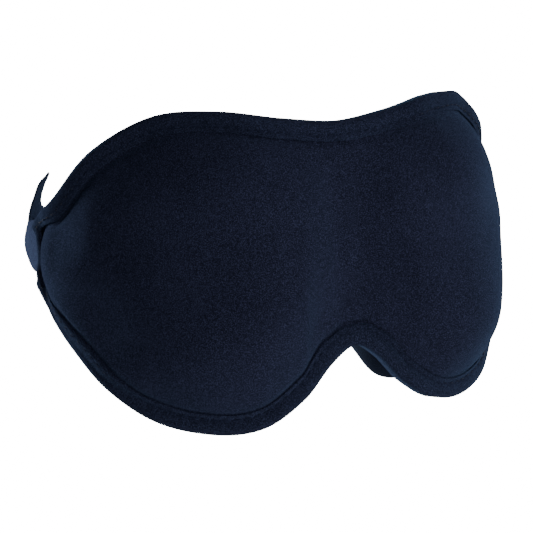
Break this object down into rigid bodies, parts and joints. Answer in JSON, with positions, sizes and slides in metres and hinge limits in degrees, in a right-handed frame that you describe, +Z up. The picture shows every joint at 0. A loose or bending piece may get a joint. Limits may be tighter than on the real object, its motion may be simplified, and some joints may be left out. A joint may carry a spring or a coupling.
{
  "type": "sleep eye mask",
  "caption": "Contoured blackout sleep mask: domed knit-covered foam shell with bound edges, nose flap and a soft elastic head strap with a slider adjuster.",
  "frame": {"origin": "on the plane of symmetry at the nose bridge, on the rim's front curve, 28 mm above the top of the nose notch", "axes": "+X to the right of someone looking at the mask's front, +Y back towards the wearer's head and the strap, +Z up"},
  "size_m": [0.1494, 0.1621, 0.0928],
  "materials": {
    "cover_knit": "matte brushed knit, dark navy",
    "binding_knit": "matte fold-over knit binding, dark navy",
    "lining_knit": "soft matte knit lining",
    "foam": "matte moulded polyurethane foam, bonded to the fabrics",
    "strap_elastic": "soft knit elastic, slate blue",
    "adjuster_plastic": "satin moulded plastic",
    "thread": "polyester sewing thread"
  },
  "bodies": {
    "mask": {"front_cover": "cover_knit", "foam_core": "foam", "lining": "lining_knit", "binding_top": "binding_knit", "binding_bottom": "binding_knit", "end_binding_left": "binding_knit", "end_binding_right": "binding_knit", "strap_end_left": "strap_elastic", "strap_end_right": "strap_elastic"},
    "nose_flap": {"nose_flap": "lining_knit"},
    "strap": {"strap_left": "strap_elastic", "strap_right": "strap_elastic", "strap_return": "strap_elastic", "ring": "adjuster_plastic", "bar_tack_left": "thread"},
    "slider": {"slider": "adjuster_plastic", "bar_tack_slider": "thread"}
  },
  "joints": [
    {"name": "strap_swing", "type": "hinge", "parent": "mask", "child": "strap", "pos_m": [0, 0.0568, 0.007], "axis": [1, 0, 0], "range_deg": [-50, 60]},
    {"name": "flap_fold", "type": "hinge", "parent": "mask", "child": "nose_flap", "pos_m": [0, 0.0032, -0.023], "axis": [1, 0, 0], "range_deg": [0, 30], "stiffness_Nm_per_rad": 0.003},
    {"name": "slider_slide", "type": "slide", "parent": "strap", "child": "slider", "axis": [1, 0, 0], "range_m": [-0.01, 0.006], "deforming": ["strap_return"]}
  ]
}
